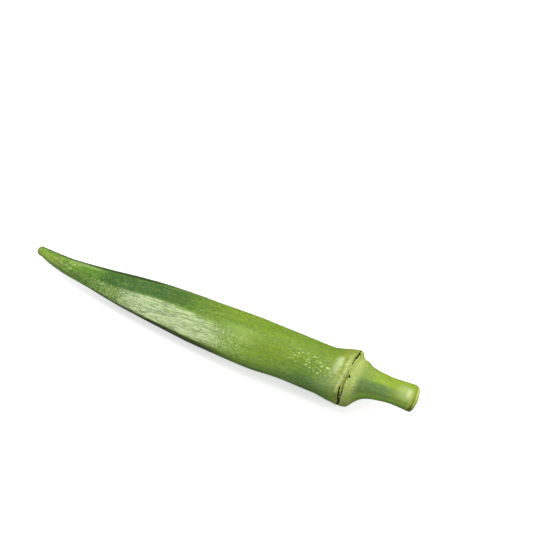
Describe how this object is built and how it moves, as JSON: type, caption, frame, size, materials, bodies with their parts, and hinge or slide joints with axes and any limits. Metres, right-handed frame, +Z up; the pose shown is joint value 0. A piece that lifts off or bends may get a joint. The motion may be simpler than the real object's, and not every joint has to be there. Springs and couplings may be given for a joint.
{
  "type": "okra pod",
  "caption": "Fresh okra pod lying on its side: a slender ribbed green pod that tapers to a blunt tip, with its calyx scar, cap and cut stalk.",
  "frame": {"origin": "on the surface that the pod lies on, below the middle of the pod's box", "axes": "+X along the pod from the tip to the cut stalk, +Z up, Y across the pod"},
  "size_m": [0.152, 0.02, 0.0191],
  "materials": {
    "okra_skin": "satin"
  },
  "bodies": {
    "root": {"okra_pod": "okra_skin"}
  },
  "joints": []
}
